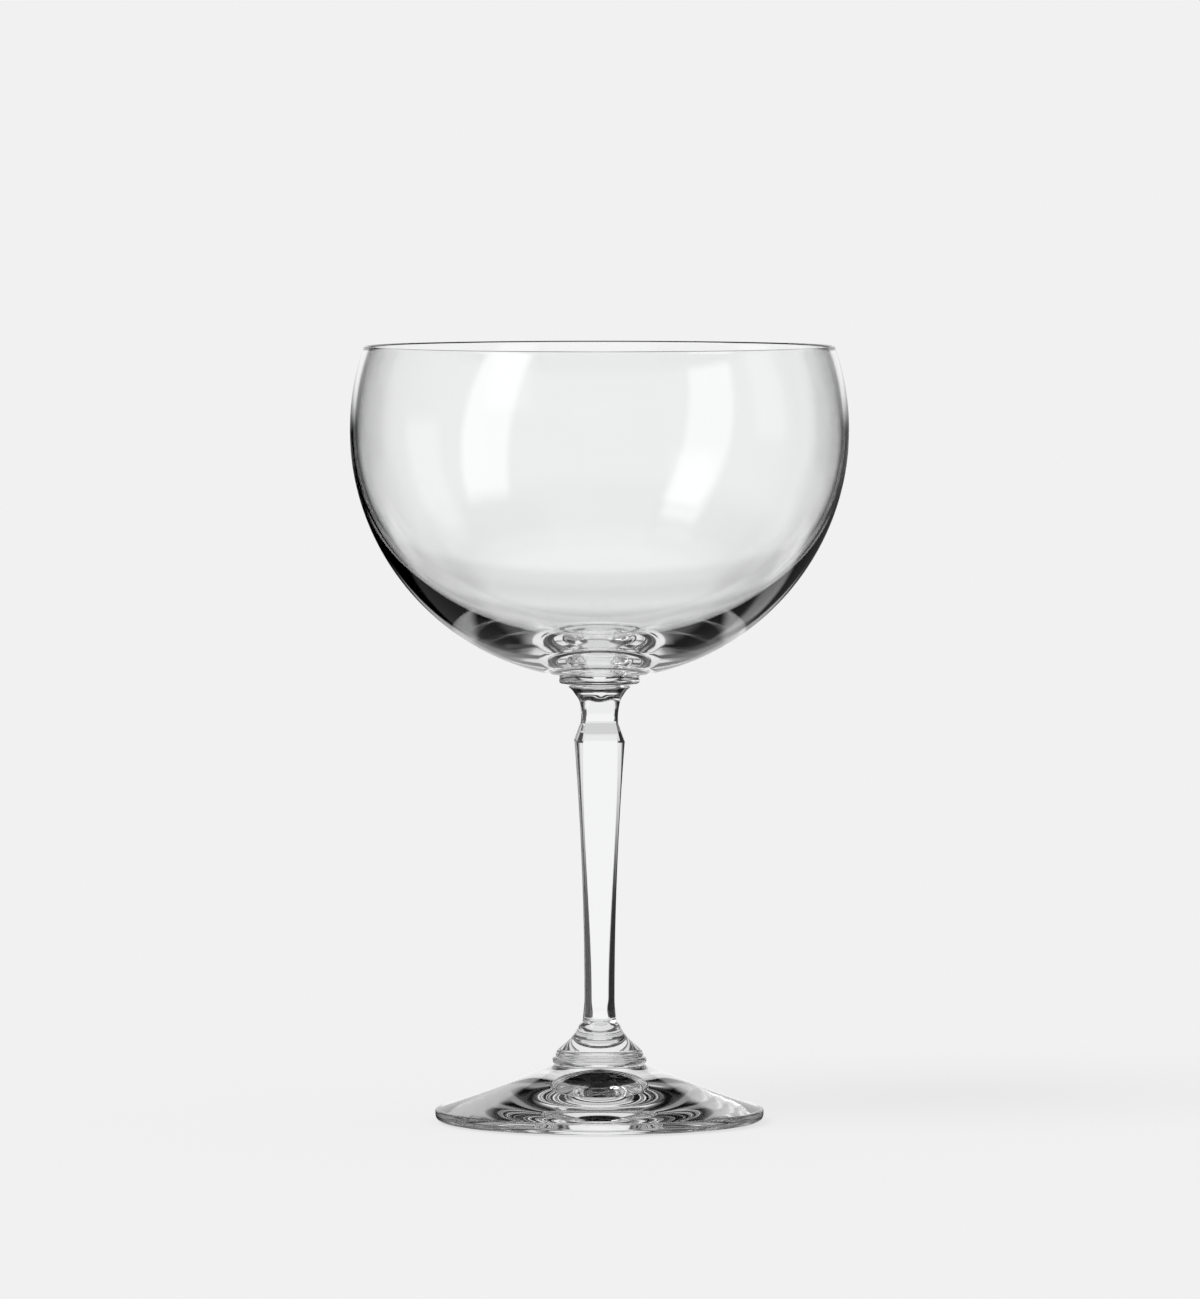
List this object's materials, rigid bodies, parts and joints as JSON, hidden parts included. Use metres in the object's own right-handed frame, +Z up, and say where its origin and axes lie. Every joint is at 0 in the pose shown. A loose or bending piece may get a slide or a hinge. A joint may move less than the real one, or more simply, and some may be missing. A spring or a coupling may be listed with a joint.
{
  "type": "stemmed coupe glass",
  "caption": "Clear stemmed drinking glass with a wide round bowl, a slim faceted stem between round collars, and a broad sloping foot.",
  "frame": {"origin": "centre of the foot on the table plane", "axes": "+Z up along the stem's axis, with the stem's flats turned 4 degrees from X and Y"},
  "size_m": [0.094, 0.094, 0.146],
  "materials": {
    "foot_glass": "clear polished",
    "stem_glass": "clear polished",
    "bowl_glass": "clear polished"
  },
  "bodies": {
    "root": {"foot": "foot_glass", "collar": "stem_glass", "stem": "stem_glass", "merese": "stem_glass", "bowl": "bowl_glass"}
  },
  "joints": []
}
